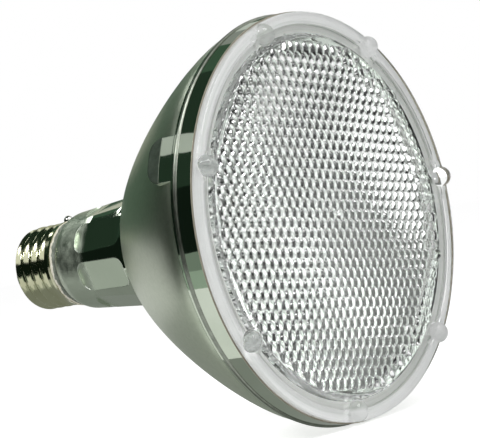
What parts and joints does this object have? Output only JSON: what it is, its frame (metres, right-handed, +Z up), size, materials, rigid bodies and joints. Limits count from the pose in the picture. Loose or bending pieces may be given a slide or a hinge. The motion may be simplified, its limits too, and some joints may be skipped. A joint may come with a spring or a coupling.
{
  "type": "reflector metal halide lamp",
  "caption": "Reflector lamp with a clear lensleted front glass, a satin metallised bowl, a glossy mirror-coated neck with flat panels and a nickel-plated screw cap, with a jacketed arc tube inside",
  "frame": {"origin": "tip of the centre contact, on the lamp axis", "axes": "Y along the lamp axis, with the lens facing the front (-Y) and the cap at the back; Z up; X to the right seen from the front"},
  "size_m": [0.1224, 0.1299, 0.1224],
  "materials": {
    "lens_glass": "clear pressed glass",
    "metallised_glass": "mirror-coated glass, satin over the bowl, glossy at neck and rim",
    "nickel_plate": "nickel-plated pressed sheet",
    "dark_glass": "opaque dark glass",
    "contact_metal": "tinned brass",
    "pale_cement": "matt cement",
    "solder": "bright solder",
    "lead_wire": "drawn wire",
    "woven_sleeve": "woven glass-fibre sleeve",
    "quartz": "clear fused quartz",
    "foil": "molybdenum foil",
    "frame_wire": "molybdenum wire",
    "arc_ceramic": "translucent alumina",
    "electrode_metal": "tungsten",
    "frit": "melted frit",
    "getter_strip": "sintered strip"
  },
  "bodies": {
    "root": {"lens": "lens_glass", "reflector": "metallised_glass", "screw_shell": "nickel_plate", "cap_insulator": "dark_glass", "centre_contact": "contact_metal", "cap_cement": "pale_cement", "side_solder": "solder", "centre_lead": "lead_wire", "lead_sleeve": "woven_sleeve", "side_lead": "lead_wire", "burner_cement": "pale_cement", "burner_jacket": "quartz", "left_foil": "foil", "right_foil": "foil", "long_frame_wire": "frame_wire", "short_frame_wire": "frame_wire", "arc_tube": "arc_ceramic", "rear_electrode": "electrode_metal", "front_electrode": "electrode_metal", "rear_frit_seal": "frit", "front_frit_seal": "frit", "getter": "getter_strip"}
  },
  "joints": []
}
